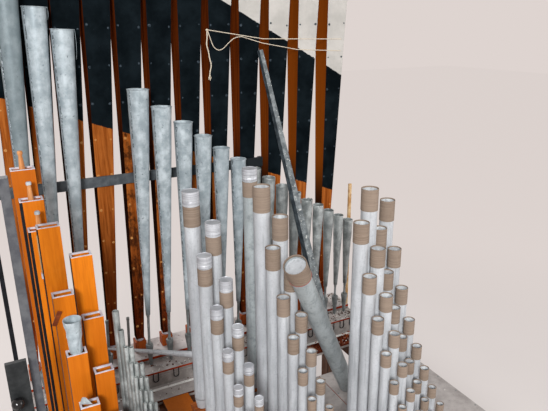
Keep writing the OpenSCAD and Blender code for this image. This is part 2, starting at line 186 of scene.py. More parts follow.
def pipe_metal(name, light, dark, stain, grime=0):
    """Dull grey metal: soft clouds, faint drips, fine speckle and a few dark specks."""
    n = Nodes(name)
    clouds = n.noise(7, 6, 0.6, (1.6, 1.6, 0.7))
    fine = n.noise(95, 5, 0.75)
    n.base = n.ramp(clouds, 0.3, 0.72, dark, light)
    n.layer(n.noise(1, 4, 0.6, (75, 75, 4)), 0.5, 0.72, 0.65, stain)
    n.layer(fine, 0.5, 0.68, 0.45, stain)
    n.lay(n.tint(), 0.25, dark)
    n.layer(n.noise(260, 2, 0.5), 0.70, 0.76, 0.55, (84, 86, 90))
    if grime:
        n.layer(n.noise(16, 6, 0.75), 0.46, 0.66, grime, (84, 92, 94))
    n.bump(n.noise(45, 3), 0.2, 0.002)
    n.bump(fine, 0.3, 0.0008)
    return n.finish(n.range(clouds, 0.3, 0.7, 0.45, 0.6), 0.1, 0.3)


def reed_metal(name, light, dark, blotch, amount, metallic, shine, low_dark=0.4):
    """Mottled metal with drips and oxidised blots, darker at the feet."""
    n = Nodes(name)
    clouds = n.noise(14, 6, 0.65)
    n.base = n.ramp(clouds, 0.35, 0.68, dark, light)
    n.layer(n.noise(1, 5, 0.65, (60, 60, 7)), 0.48, 0.72, 0.5, dark)
    n.layer(n.noise(48, 5, 0.7), 0.60, 0.70, amount, blotch)
    n.layer(n.noise(300, 3, 0.6), 0.62, 0.75, amount * 0.6, blotch)
    n.lay(n.tint(), 0.35, dark)
    n.layer(n.noise(9, 5, 0.7, (1, 1, 0.5)), 0.5, 0.66, amount * 0.7, dark)
    n.base = n.mix(n.range(n.xyz()[2], 1.05, 1.7, low_dark, 0), n.base, blotch)
    n.bump(n.noise(30, 4), 0.4, 0.004)
    n.bump(n.noise(350, 3), 0.25, 0.0006)
    return n.finish(n.range(clouds, 0.3, 0.7, 0.42, 0.62), metallic, shine)


def tan_card():
    """Tan card with fine rings and scuffs."""
    n = Nodes("tan_card")
    rings = n.noise(1, 3, 0.5, (6, 6, 420))
    scuffs = n.noise(38, 5, 0.65)
    n.base = n.ramp(rings, 0.35, 0.65, (120, 104, 91), (140, 124, 110))
    n.layer(scuffs, 0.5, 0.75, 0.45, (112, 92, 76))
    n.lay(n.tint(), 0.35, (157, 140, 126))
    n.bump(rings, 0.25, 0.0006)
    n.bump(scuffs, 0.2, 0.001)
    return n.finish(n.range(scuffs, 0.3, 0.7, 0.5, 0.7), 0, 0.2)


def silver_cap():
    """Bright thin metal with fine rings and scratches."""
    n = Nodes("silver_cap")
    rings = n.noise(1, 3, 0.6, (4, 4, 190))
    scratches = n.noise(1, 4, 0.7, (160, 160, 26))
    n.base = n.ramp(rings, 0.35, 0.62, (170, 172, 178), (208, 211, 216))
    n.layer(scratches, 0.55, 0.7, 0.5, (140, 140, 146))
    n.layer(n.noise(130, 3, 0.6), 0.62, 0.72, 0.5, (232, 234, 238))
    n.bump(scratches, 0.3, 0.001)
    n.bump(rings, 0.3, 0.001)
    return n.finish(n.range(rings, 0.3, 0.7, 0.32, 0.5), 0.35, 0.4)


def inner_painted_light():
    """Pale metal inside the open pipes; the pale colour also stands in for light where the inside lies in
    shade.
    """
    n = Nodes("inner_painted_light")
    n.base = n.ramp(n.noise(40, 4, 0.6), 0.35, 0.7, (158, 161, 165), (206, 210, 213))
    n.bump(n.noise(200, 2), 0.1, 0.0006)
    return n.finish(0.55)


def grain(n, stretch):
    """Figure of wood along one axis: broad bands and fine pores."""
    return n.noise(1, 5, 0.6, stretch, 0.6), n.noise(6, 3, 0.6, stretch)


def orange_wood():
    """Varnished pine: orange fronts with faint figure, and sides darkened with painted shade."""
    n = Nodes("orange_wood")
    bands, pores = grain(n, (45, 45, 2.2))
    wear = n.noise(11, 5, 0.65)
    n.base = n.ramp(bands, 0.3, 0.72, (200, 106, 12), (220, 124, 20))
    n.layer(pores, 0.5, 0.72, 0.25, (164, 78, 8))
    n.layer(wear, 0.55, 0.75, 0.3, (214, 134, 48))
    n.lay(n.tint(), 0.75, (154, 74, 14))
    # painted shade: faces that look along X get a dark brown in place of the orange
    side = n.ramp(bands, 0.36, 0.66, (44, 28, 18), (92, 52, 24))
    n.base = n.ramp(n.math("ABSOLUTE", n.normal()[0]), 0.75, 0.9, n.base, side)
    n.bump(bands, 0.2, 0.0008)
    n.bump(pores, 0.2, 0.0004)
    return n.finish(n.range(wear, 0.3, 0.7, 0.45, 0.6), 0, 0.12)


def plain_wood(name, light, dark, stretch=UPWARDS):
    """Varnished wood with some dust."""
    n = Nodes(name)
    bands, pores = grain(n, stretch)
    n.base = n.ramp(bands, 0.34, 0.68, dark, light)
    n.layer(pores, 0.5, 0.72, 0.35, dark)
    n.layer(n.noise(18, 5, 0.7), 0.52, 0.7, 0.3, (148, 138, 128))
    n.bump(pores, 0.25, 0.0006)
    return n.finish(0.6, 0, 0.2)


def dark_wood(name="dark_wood", light=(96, 54, 30), deep=(58, 30, 16), stretch=LENGTHWISE):
    """Old stained timber with dust along it."""
    n = Nodes(name)
    bands, pores = grain(n, stretch)
    n.base = n.ramp(bands, 0.36, 0.66, deep, light)
    n.layer(pores, 0.5, 0.75, 0.4, deep)
    n.layer(n.noise(4, 5, 0.6), 0.45, 0.7, 0.25, (130, 118, 108))
    n.bump(bands, 0.3, 0.001)
    n.bump(pores, 0.3, 0.0005)
    return n.finish(0.62, 0, 0.2)


def paint(name, light, dark, rough=0.6, chips=None, shine=0.2, dark_from=None, worn=0.66):
    """Brushed paint; it may have chips of another colour, or get darker to the right."""
    n = Nodes(name)
    brush = n.noise(1, 3, 0.6, (90, 90, 9))
    n.base = n.ramp(n.noise(24, 5, 0.6), 0.35, 0.7, dark, light)
    n.layer(brush, 0.5, 0.75, 0.3, dark)
    if chips:
        n.base = n.ramp(n.noise(70, 5, 0.7), worn, worn + 0.04, n.base, chips)
    if dark_from is not None:
        n.base = n.ramp(n.xyz()[0], dark_from, dark_from + 0.35, n.base, (22, 28, 32))
    n.bump(brush, 0.25, 0.0008)
    return n.finish(rough, 0, shine)


def above(n, line):
    """How far the surface lies above a paint line."""
    x, _, z = n.xyz()
    height = n.math("ADD", line[1] - line[2] * line[0], n.math("MULTIPLY", x, line[2]))
    return n.math("SUBTRACT", z, height)


def resonator_wood():
    """Bare wood low down, black paint above it, white at the top, and red-brown sides that turn near black
    low down as painted shade.
    """
    n = Nodes("resonator_wood")
    x, _, z = n.xyz()
    bands, pores = grain(n, (55, 55, 2.5))
    clouds = n.noise(6, 6, 0.65)
    ragged = n.math("MULTIPLY", n.math("SUBTRACT", n.noise(70, 3, 0.7), 0.5), 0.012)
    above_bare, above_black = (n.math("ADD", above(n, line), ragged) for line in (BARE_BELOW, WHITE_ABOVE))
    n.base = n.ramp(z, 1.1, 2.1, n.ramp(bands, 0.36, 0.66, (82, 28, 10), (126, 54, 20)),
                    n.ramp(bands, 0.36, 0.66, (132, 66, 22), (172, 98, 42)))
    soot = n.range(n.noise(24, 6, 0.75, (1, 1, 0.5)), 0.42, 0.6)
    n.lay(n.math("MULTIPLY", soot, n.range(n.tint(), 0.35, 0.9)), 0.85, (38, 20, 14))
    n.layer(pores, 0.5, 0.75, 0.3, (84, 36, 14))
    black = n.ramp(clouds, 0.35, 0.7, (10, 15, 18), (21, 28, 32))
    black = n.ramp(n.noise(150, 4, 0.8), 0.72, 0.76, black, (120, 128, 130))
    white = n.ramp(clouds, 0.3, 0.7, (174, 171, 166), (194, 190, 185))
    white = n.ramp(n.noise(60, 6, 0.8), 0.68, 0.72, white, (120, 52, 26))
    front = n.ramp(above_bare, -PAINT_EDGE, PAINT_EDGE, n.base, black)
    front = n.ramp(above_black, -PAINT_EDGE, PAINT_EDGE, front, white)
    n.base = n.ramp(bands, 0.36, 0.66, (72, 27, 6), (104, 45, 12))
    n.layer(x, 0.2, 0.9, 0.8, (126, 62, 12))
    # painted shade: the sides go near black from a little above the bare wood's paint line downwards
    n.base = n.mix(n.range(above_bare, -0.15, 0.25, 0.92, 0), n.base, (20, 11, 8))
    n.base = n.ramp(n.math("ABSOLUTE", n.normal()[1]), 0.6, 0.8, n.base, front)
    n.bump(bands, 0.25, 0.0012)
    n.bump(pores, 0.2, 0.0005)
    return n.finish(n.range(clouds, 0.3, 0.7, 0.55, 0.75), 0, 0)


def filler_spots():
    """Filled nail holes: pale putty low down, greyish in the black paint."""
    n = Nodes("filler")
    clouds = n.noise(160, 4, 0.7)
    putty = n.ramp(clouds, 0.35, 0.65, (164, 104, 52), (206, 152, 92))
    grey = n.ramp(clouds, 0.4, 0.65, (30, 38, 44), (72, 82, 90))
    n.base = n.ramp(above(n, BARE_BELOW), -PAINT_EDGE, PAINT_EDGE, putty, grey)
    n.bump(clouds, 0.3, 0.0006)
    return n.finish(0.8, 0, 0.05)


def dusty_board(name, edge_from, edge_light=(176, 62, 22), edge_dark=(132, 40, 14),
                dust_light=(184, 177, 174), dust_dark=(152, 145, 142), rusty_from=None):
    """Grey dust on top; edges of rusty varnish above a height and grey below it."""
    n = Nodes(name)
    x, _, z = n.xyz()
    clouds = n.noise(9, 7, 0.7)
    grit = n.noise(120, 4, 0.75)
    n.base = n.ramp(clouds, 0.3, 0.7, dust_dark, dust_light)
    n.layer(grit, 0.55, 0.75, 0.5, (196, 190, 184))
    n.layer(n.noise(80, 5, 0.7), 0.6, 0.72, 0.7, (92, 66, 50))
    if rusty_from is not None:
        rusty = n.ramp(n.noise(40, 5, 0.7), 0.4, 0.62, (58, 20, 10), (128, 58, 32))
        n.base = n.ramp(x, rusty_from, rusty_from + 0.25, n.base, rusty)
    dust = n.base
    n.base = n.ramp(grain(n, LENGTHWISE)[0], 0.36, 0.66, edge_dark, edge_light)
    n.layer(clouds, 0.45, 0.7, 0.4, (90, 40, 24))
    grey = n.ramp(clouds, 0.35, 0.65, (132, 126, 122), (166, 160, 156))
    n.base = n.ramp(z, edge_from - 0.001, edge_from + 0.001, grey, n.base)
    n.base = n.ramp(n.normal()[2], 0.6, 0.8, n.base, dust)
    n.bump(grit, 0.5, 0.002)
    return n.finish(0.85, 0, 0.1)


def twine():
    """Pale twisted string."""
    n = Nodes("twine")
    twist = n.noise(1, 2, 0.5, (500, 500, 500))
    n.base = n.ramp(twist, 0.35, 0.65, (176, 160, 140), (232, 222, 204))
    n.bump(twist, 0.5, 0.001)
    return n.finish(0.9, 0, 0.2)


METAL = pipe_metal("pipe_metal", (202, 205, 209), (176, 179, 183), (146, 149, 153))
FALLEN = pipe_metal("fallen_metal", (180, 187, 189), (160, 167, 169), (136, 143, 146), 0.4)
REED_BLUE = reed_metal("reed_blue", (140, 151, 155), (106, 119, 124), (52, 60, 64), 0.5, 0.2, 0.4, 0.1)
REED_PALE = reed_metal("reed_pale", (198, 208, 213), (142, 154, 160), (48, 56, 60), 0.75, 0.2, 0.4, 0.1)
REED_DARK = reed_metal("reed_dark", (196, 202, 202), (132, 138, 138), (40, 44, 44), 0.65, 0.6, 0.5)
THIN = reed_metal("thin_metal", (208, 214, 213), (140, 146, 145), (44, 48, 48), 0.6, 0.7, 0.5)
CARD = tan_card()
CAP = silver_cap()
INNER_PAINTED_LIGHT = inner_painted_light()
ORANGE = orange_wood()
BOOT_WOOD = plain_wood("boot_wood", (184, 88, 30), (132, 56, 16))
HANDLE = plain_wood("handle_wood", (206, 144, 92), (168, 104, 56))
RACK_WOOD = plain_wood("rack_wood", (172, 92, 30), (124, 58, 16), LENGTHWISE)
CHEST_WOOD = plain_wood("chest_wood", (134, 74, 38), (94, 46, 22), LENGTHWISE)
RESONATOR = resonator_wood()
DUSTY = dusty_board("dusty_board", BOARD_TOP - 0.012)
# painted light: the riser's dust is a lighter copy of the toe boards' dust, standing for light where it lies
# in shade
RISER_PAINTED_LIGHT = dusty_board("riser_board", BOARD_TOP + 0.012, dust_light=(212, 206, 204), dust_dark=(176, 169, 167))
CHEST_DUST = dusty_board("chest_dust", 10)
WALK_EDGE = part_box("walk_boards")[1][2] - 0.014
PLANK = dusty_board("walk_plank", WALK_EDGE, (96, 40, 20), (60, 28, 16))
RUSTY_PLANK = dusty_board("rusty_plank", WALK_EDGE, (96, 40, 20), (60, 28, 16), rusty_from=0.5)
DARK = dark_wood()
UPRIGHT = dark_wood("upright_wood", stretch=UPWARDS)
CHEST = dark_wood("plank_wood", (150, 74, 34), (104, 44, 20))
PALE = dark_wood("pale_wood", (196, 166, 124), (158, 126, 86), UPWARDS)
HANDLE_GREY = paint("handle_grey", (186, 190, 194), (140, 144, 148))
RIM_PAINT = paint("rim_paint", (214, 210, 218), (176, 172, 180), 0.6, (188, 112, 40))
RAIL_PAINT = paint("rail_paint", (88, 93, 97), (66, 71, 76), dark_from=-0.25)
POST_PAINT = paint("post_paint", (92, 93, 96), (70, 71, 76))
SEAM = paint("reed_seam", (126, 136, 141), (62, 70, 74), 0.5, (176, 186, 192), worn=0.50)
BOARD_PAINT = paint("board_paint", (46, 48, 49), (28, 30, 31))
BAR_DARK = paint("bar_dark", (24, 28, 34), (10, 12, 16))
# painted shade: a darker copy of the bar's grey paint, for its left faces
BAR_SHADED_SIDE = paint("bar_shaded_side", (84, 94, 100), (44, 52, 58), 0.5, (150, 158, 160))
BAR_SCUFFED = paint("bar_scuffed", (140, 146, 148), (88, 94, 97), 0.6, (226, 226, 220), worn=0.61)
WHITE_EDGE = paint("white_edge", (250, 249, 246), (236, 234, 230), 0.7, (170, 150, 130))
BLACK = paint("black_gloss", (22, 20, 22), (10, 9, 10), 0.2, shine=0.5)
PAPER = paint("torn_paper", (176, 182, 184), (120, 126, 130), 0.8)
STICK = paint("stick_paint", (214, 186, 144), (176, 130, 82), 0.7, (236, 226, 206))
RED = paint("red_thread", (186, 52, 54), (150, 36, 40))
PLASTER = paint("plaster_bits", (236, 233, 228), (176, 170, 164), 0.9)
FILLER = filler_spots()
TWINE = twine()


# Solids of the frame


def solids(node):
    """Corners of each solid of a CAD node, from left to right, then front to back."""
    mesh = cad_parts[node].data
    points = np.empty(len(mesh.vertices) * 3)
    mesh.vertices.foreach_get("co", points)
    points = points.reshape(-1, 3)
    keys = {}
    weld = [keys.setdefault(tuple(p), len(keys)) for p in np.round(points * 1e5).astype(int).tolist()]
    parent = list(range(len(keys)))

    def root(i):
        while parent[i] != i:
            parent[i] = parent[parent[i]]
            i = parent[i]
        return i

    for edge in mesh.edges:
        a, b = (root(weld[v]) for v in edge.vertices)
        parent[a] = b
    groups = {}
    for i, w in enumerate(weld):
        groups.setdefault(root(w), []).append(i)
    found = [points[g] for g in groups.values()]
    return sorted(found, key=lambda p: (round(float(p[:, 0].mean()), 3), float(p[:, 1].mean())))


def box_of(points):
    return Vector(points.min(axis=0)), Vector(points.max(axis=0))


def boxes(node):
    return [box_of(points) for points in solids(node)]


def from_tallest(node):
    return sorted(boxes(node), key=lambda box: -box[1].z)


def uprights(node):
    """Upright solids of a node: middle of the base, half the width, height."""
    for low, high in boxes(node):
        mid = (low + high) / 2
        yield Vector((mid.x, mid.y, low.z)), (high.x - low.x) / 2, high.z - low.z


def end_of(near, middle, axes):
    return Vector(middle), float(np.linalg.norm((near - middle)[:, :axes], axis=1).max())


def rods(node, slack=0.006):
    """Solids that stand or lean a little: low centre and radius, high centre and radius."""
    for points in solids(node):
        z = points[:, 2]
        yield [x for near in (points[z < z.min() + slack * 0.5], points[z > z.max() - slack])
               for x in end_of(near, (near.max(axis=0) + near.min(axis=0)) / 2, 2)]


def ends_of(node):
    """The same for a node's only solid, in any direction."""
    points = solids(node)[0]
    centre = points.mean(axis=0)
    axis = np.linalg.svd(points - centre)[2][0]
    t = (points - centre) @ (axis if axis[2] > 0 else -axis)
    return [x for near in (points[t < t.min() + 0.002], points[t > t.max() - 0.002])
            for x in end_of(near, near.mean(axis=0), 3)]


# Meshes
ROUND = 48


def towards(direction):
    """Rotation that points Z along a direction and keeps X level where it can."""
    z = Vector(direction).normalized()
    x = Vector((0, 1, 0)).cross(z)
    x = x.normalized() if x.length > 1e-6 else Vector((1, 0, 0))
    return Matrix((x, z.cross(x), z)).transposed()


def span(low, high):
    """Rotation and length of a straight piece."""
    return towards(high - low), (high - low).length


def around(at, turn, r, a, z):
    """A point on a round wall."""
    return at + turn @ Vector((r * cos(a), r * sin(a), z))


def round_noise(a, spread, z, shift=0):
    """Smooth noise that closes on itself round a wall."""
    return noise.noise(Vector((cos(a) * spread + shift, sin(a) * spread, z)))


def swollen(p, share):
    """A wall's point pushed out by a share of the radius."""
    return Vector((p.x * (1 + share), p.y * (1 + share), p.z))


def ring_faces(rings, sides=4, close=False, skip=()):
    """Faces between rings of corners; skip holds the faces left open, as ring and side."""
    pairs = [(j, j + 1) for j in range(rings - 1)] + ([(rings - 1, 0)] if close else [])
    return [(a * sides + s, a * sides + (s + 1) % sides, b * sides + (s + 1) % sides, b * sides + s)
            for a, b in pairs for s in range(sides) if (a, s) not in skip]


def strip_faces(count):
    """Faces of a strip whose corners take turns between its two edges."""
    return [(2 * i, 2 * i + 1, 2 * i + 3, 2 * i + 2) for i in range(count)]


def place(obj, slot, *nodes):
    """Puts a piece in the scene; it stands for the nodes, if any are given."""
    SCENE.collection.objects.link(obj)
    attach(obj, "root")
    if nodes:
        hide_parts(*nodes)
    return obj


class Piece:
    """Collects the faces of a piece, then makes its mesh."""

    def __init__(self, name):
        self.name, self.materials = name, []
        self.verts, self.faces, self.mats, self.tints = [], [], [], []

    def slot_of(self, material):
        if material not in self.materials:
            self.materials.append(material)
        return self.materials.index(material)

    def add(self, verts, faces, material, tint=0.5):
        start = len(self.verts)
        self.verts += [tuple(v) for v in verts]
        self.faces += [tuple(start + i for i in f) for f in faces]
        self.mats += [self.slot_of(material)] * len(faces)
        self.tints += [tint] * len(verts)

    def lathe(self, profile, material, at, turn=None, sides=ROUND, tint=0.5, shape=None, close=False):
        """Turns a list of (radius, height) about Z; a radius of 0 closes that end with a fan."""
        turn = turn or Matrix.Identity(3)
        at = Vector(at)
        verts, rings = [], []
        for r, z in profile:
            if r <= 0:
                rings.append([len(verts)])
                verts.append(at + turn @ Vector((0, 0, z)))
                continue
            rings.append(list(range(len(verts), len(verts) + sides)))
            for s in range(sides):
                a = 2 * pi * s / sides
                p = Vector((r * cos(a), r * sin(a), z))
                verts.append(at + turn @ (shape(p, a) if shape else p))
        faces = []
        for low, high in list(zip(rings, rings[1:])) + ([(rings[-1], rings[0])] if close else []):
            for s in range(sides):
                t = (s + 1) % sides
                quad = [low[s % len(low)], low[t % len(low)], high[t % len(high)], high[s % len(high)]]
                faces.append(tuple(dict.fromkeys(quad)))
        self.add(verts, faces, material, tint)

    def box(self, low, high, material, tint=0.5, turn=None, at=None):
        corners = [Vector((x, y, z)) for z in (low[2], high[2])
                   for y in (low[1], high[1]) for x in (low[0], high[0])]
        if turn is not None:
            corners = [Vector(at) + turn @ c for c in corners]
        faces = [(0, 2, 3, 1), (4, 5, 7, 6), (0, 1, 5, 4), (1, 3, 7, 5), (3, 2, 6, 7), (2, 0, 4, 6)]
        self.add(corners, faces, material, tint)

    def tube(self, route, radius, material, sides=12):
        """A closed round tube; radius is one number, or one for each point."""
        radii = radius if isinstance(radius, list) else [radius] * len(route)
        last = len(route) - 1
        verts = []
        across = Vector(route[1] - route[0]).orthogonal()
        for i, point in enumerate(route):
            along = (route[min(i + 1, last)] - route[max(i - 1, 0)]).normalized()
            across = (across - along * across.dot(along)).normalized()
            other = along.cross(across)
            for s in range(sides):
                a = 2 * pi * s / sides
                verts.append(point + (across * cos(a) + other * sin(a)) * radii[i])
        ends = [tuple(range(sides - 1, -1, -1)), tuple(last * sides + s for s in range(sides))]
        self.add(verts, ring_faces(last + 1, sides) + ends, material)

    def make(self, slot, *nodes, bevel=0, wall=0, smooth=35):
        mesh = bpy.data.meshes.new(self.name)
        mesh.from_pydata(self.verts, [], self.faces)
        for material in self.materials:
            mesh.materials.append(material)
        mesh.polygons.foreach_set("material_index", self.mats)
        mesh.polygons.foreach_set("use_smooth", [True] * len(self.faces))
        mesh.attributes.new("tint", "FLOAT", "POINT").data.foreach_set("value", self.tints)
        mesh.set_sharp_from_angle(angle=radians(smooth))
        obj = bpy.data.objects.new(self.name, mesh)
        if bevel:
            mod = obj.modifiers.new("edges", "BEVEL")
            mod.width = bevel
            mod.segments = 2
            mod.limit_method = "ANGLE"
            mod.angle_limit = radians(50)
            mod.harden_normals = True
        if wall:
            mod = obj.modifiers.new("wall", "SOLIDIFY")
            mod.thickness = wall
            mod.offset = -1
        return place(obj, slot, *nodes)


def turned(name, node, material, slot, profile, **shape):
    """Round pieces for a node; profile makes each one's outline from its size."""
    piece = Piece(name)
    for at, r, tall in uprights(node):
        piece.lathe(profile(r, tall), material, at, tint=random(), **shape)
    piece.make(slot, node)


def timbers(name, nodes, material, slot, bevel):
    """Square timbers for some nodes."""
    piece = Piece(name)
    for node in nodes:
        for low, high in boxes(node):
            piece.box(low, high, material, random())
    piece.make(slot, *nodes, bevel=bevel)


# String. Its routes repeat the points of the part's source, in metres, just off the resonators' fronts
WOOD_ROW = 0.985
STRING_WIDTH = 0.005
TAIL_WIDTH = 0.007
TAIL_DROPS = [(0, 0, 0), (0, -1, -14), (-1, -2, -30), (-3, -3, -46), (-5, -3, -62), (-5, -2, -78),
              (-2, -2, -94), (2, -3, -110), (5, -3, -126), (7, -2, -142), (10, -2, -158), (14, -2, -173),
              (17, -2, -188), (16, -2, -203), (12, -2, -217), (8, -2, -231), (6, -2, -245)]
KNOT_RINGS = [(-7, 4), (-5, 10), (-2, 14), (2, 14), (5, 10), (7, 5)]


def on_face(x, z, off=0):
    """A point of a string's middle, x along the row and z above the toe boards."""
    front = WOOD_ROW - (0.051 + 0.043 * (z - 0.126)) / 2
    return Vector((x, front - STRING_WIDTH / 2 - 0.0006 - off, BOARD_TOP + z))


STRING_START = on_face(0.127, 2.046)
UPPER_ROUTE = [STRING_START + Vector((x * MM, 0, 0)) for x, _ in KNOT_RINGS]
UPPER_ROUTE += [on_face(0.490, 1.990), on_face(1.066, 1.978)]
UPPER_RADII = [width * MM / 2 for _, width in KNOT_RINGS] + [STRING_WIDTH / 2] * 2
LOWER_ROUTE = [on_face(0.345, 2.006), on_face(0.487, 1.965), on_face(0.734, 1.920), on_face(1.066, 1.903)]
LOOP = [(0.131, 2.040), (0.146, 1.996), (0.164, 1.952), (0.193, 1.932), (0.226, 1.940), (0.262, 1.972),
        (0.302, 1.999), (0.346, 2.005)]
TUFT_STRANDS = 9


def smooth_path(points, steps):
    """Points of a Catmull-Rom line through the given ones."""
    padded = [points[0] * 2 - points[1]] + list(points) + [points[-1] * 2 - points[-2]]
    path = []
    for a, b, c, d in zip(padded, padded[1:], padded[2:], padded[3:]):
        for i in range(steps):
            t = i / steps
            path.append((b * 2 + (c - a) * t + (a * 2 - b * 5 + c * 4 - d) * t * t
                         + (b * 3 - a - c * 3 + d) * t ** 3) / 2)
    return path + [points[-1]]


def string_pieces():
    """Tied strands with a knot and a slack loop, and the frayed end that hangs down."""
    piece = Piece("tied_strands")
    piece.tube(UPPER_ROUTE, UPPER_RADII, TWINE)
    piece.tube(LOWER_ROUTE, [0.002] + [STRING_WIDTH / 2] * 3, TWINE)
    piece.make("string", "tie_string")
    loop = Piece("slack_loop")
    loop.tube(smooth_path([on_face(x, z, 0.004) for x, z in LOOP], 6), 0.0024, TWINE)
    loop.make("string")
    start = STRING_START - Vector((0, 0, 0.0071))
    path = smooth_path([start + Vector(drop) * MM for drop in TAIL_DROPS], 2)
    data = bpy.data.curves.new("hanging_string", "CURVE")
    data.dimensions = "3D"
    data.bevel_depth = TAIL_WIDTH / 2
    data.bevel_resolution = 3
    data.use_fill_caps = True
    spline = data.splines.new("POLY")
    spline.points.add(len(path) - 1)
    for point, at in zip(spline.points, path):
        point.co = (*at, 1)
    data.materials.append(TWINE)
    tail = place(bpy.data.objects.new("hanging_string", data), "string", "string_tail")
    tuft = Piece("frayed_tuft")
    for k in range(TUFT_STRANDS):
        a = 2 * pi * k / TUFT_STRANDS
        out = Vector((cos(a), 0.4 * sin(a), 0)) * uniform(0.004, 0.011)
        drop = Vector((0, 0, uniform(0.022, 0.040)))
        strand = [path[-1] + Vector((0, 0, 0.004)), path[-1] + out * 0.5 - drop * 0.35,
                  path[-1] + out - drop * 0.7, path[-1] + out * 0.8 - drop]
        tuft.tube(smooth_path(strand, 4), 0.0011, TWINE, sides=6)
    frayed = tuft.make("string")


string_pieces()


# Frame, chests and boards
def reed_rail():
    """Grey rail on dark posts, between the two rows of reeds."""
    piece = Piece("rail_timbers")
    for low, high in boxes("reed_rail"):
        piece.box(low, high, RAIL_PAINT if high.x - low.x > 0.5 else BAR_DARK, random())
    piece.make("grey_paint", "reed_rail", bevel=0.002)


timbers("leg_timbers", ["legs"], UPRIGHT, "dark_wood", 0.004)
timbers("beam_timbers", ["beams"], DARK, "dark_wood", 0.004)
timbers("rear_chest_box", ["rear_chest"], CHEST_DUST, "chest_wood", 0.003)
timbers("front_chest_boxes", ["front_chest", "flute_chest"], CHEST_WOOD, "chest_wood", 0.003)
timbers("toe_boards", ["rear_board", "front_boards"], DUSTY, "dusty_board", 0.0025)
timbers("riser_board", ["wood_board"], RISER_PAINTED_LIGHT, "dusty_board", 0.0025)
timbers("bearer_timbers", ["walk_bearers"], DARK, "dark_wood", 0.003)
reed_rail()
timbers("post_timber", ["left_post"], POST_PAINT, "grey_paint", 0.002)
timbers("stick_timber", ["end_stick"], STICK, "pale_wood", 0.0015)


# Ranks of metal flue pipes
MOUTH_LOW = 0.010
MOUTH_SIDES = 10
CARD_WALL = 0.0022
CARD_RIM = 0.0008
TIP = 0.008


def sleeve_profile(r, tall, wall, rim, inner_rim):
    """Card sleeve with rounded rims."""
    return [(r - wall, 0), (r - rim, 0), (r, rim), (r, tall - rim), (r - rim, tall),
            (r - wall + inner_rim, tall), (r - wall, tall - rim)]


def flue_bodies(rank, bodies):
    """Thin pipes, mouths at the back. The tallest capped one is of duller metal."""
    piece = Piece(rank + "_metal")
    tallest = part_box(bodies)[1][2]
    mouth = {(1, ROUND // 4 - MOUTH_SIDES // 2 + i) for i in range(MOUTH_SIDES)}
    for at, r, tall in uprights(bodies):
        mouth_high = MOUTH_LOW + r * 0.52
        rows = [0, MOUTH_LOW, mouth_high, mouth_high + r * 0.5, mouth_high + r * 1.4]
        rows = [h for h in rows if h < tall * 0.8] + [tall * 0.9, tall - 0.002, tall]
        verts = []
        for h in rows:
            lip = max(0, 1 - abs(h - (MOUTH_LOW + mouth_high) / 2) / (r * 1.5))
            flat = r * (0.74 + 0.26 * (1 - lip))
            for s in range(ROUND):
                a = 2 * pi * s / ROUND
                verts.append((at.x + r * cos(a), at.y + min(r * sin(a), flat), at.z + h))
        dull = rank == "cap" and at.z + tall > tallest - 0.01
        piece.add(verts, ring_faces(len(rows), ROUND, skip=mouth), FALLEN if dull else METAL, random())
    piece.make("flue_metal", bodies, wall=0.0014)


def flue_sleeves(rank, bodies):
    """Card sleeves, and rings of pale metal with painted light inside the open pipes."""
    piece = Piece(rank + "_cards")
    inside = Piece(rank + "_inner")
    for (at, r, tall), (_, top) in zip(uprights(rank + "_sleeves"), boxes(bodies)):
        tint = random()
        profile = sleeve_profile(r, tall, CARD_WALL, CARD_RIM, CARD_RIM * 0.5)
        piece.lathe(profile, CARD, at, tint=tint, close=True, sides=56)
        if rank == "cap":
            continue
        ring = r - CARD_WALL - 0.0018
        profile = [(ring, -r * 2.2), (ring, -0.0005), (ring - 0.0004, 0.0004), (ring - 0.0010, 0.0004),
                   (ring - 0.0012, -0.0005), (ring - 0.0012, -r * 2.2)]
        # painted light: the inside ring's pale colour stands for light inside the pipe
        inside.lathe(profile, INNER_PAINTED_LIGHT, (at.x, at.y, top.z + 0.0006), tint=tint, close=True)
    piece.make("tan_band", rank + "_sleeves")
    if rank != "cap":
        inside.make("flue_metal")


def cap_lids():
    """Caps with a pressed ring, small creases and a sunk top."""
    piece = Piece("cap_lids")
    for at, r, tall in uprights("caps"):

        def crease(p, a, r=r, shift=at.x * 40 + at.y * 17):
            return swollen(p, round_noise(a, 2, p.z * 60, shift) * 0.0008 / r)

        profile = [(r - 0.002, 0), (r - 0.0005, 0), (r, 0.001), (r, tall * 0.3), (r - 0.0007, tall * 0.33),
                   (r, tall * 0.36), (r, tall * 0.7), (r, tall - 0.0016), (r - 0.0012, tall - 0.0002),
                   (r * 0.93, tall - 0.0002), (r * 0.90, tall - 0.0022), (r * 0.5, tall - 0.0026),
                   (0, tall - 0.0026)]
        piece.lathe(profile, CAP, at, shape=crease, tint=random(), sides=56)
    piece.make("silver_cap", "caps")


for rank in ("cap", "open", "right", "outer"):
    flue_bodies(rank, rank + "_bodies")
    turned(rank + "_foot_metal", rank + "_feet", METAL, "flue_metal", lambda r, tall: [
        (0, 0.004), (TIP * 0.6, 0), (TIP, 0.001), (TIP + (r - TIP) * 0.5, tall * 0.5), (r, tall - 0.003),
        (r, tall), (r * 0.9, tall), (0, tall)])
    flue_sleeves(rank, rank + "_bodies")
cap_lids()


# Reeds. Some are torn at the rim: cone number to the angle and length of the loose strip
TORN = {1: (0.2, 0.06), 2: (-0.1, 0.15)}
RAGGED = 13
PALE_REEDS = 9
REED_RIM = [(-0.0012, 0.004), (0.0006, 0.003), (0.0008, 0.0008), (-0.0006, 0)]
CONE_ROWS = 22
SEAM_ROWS = 80
TORN_ROWS = 8


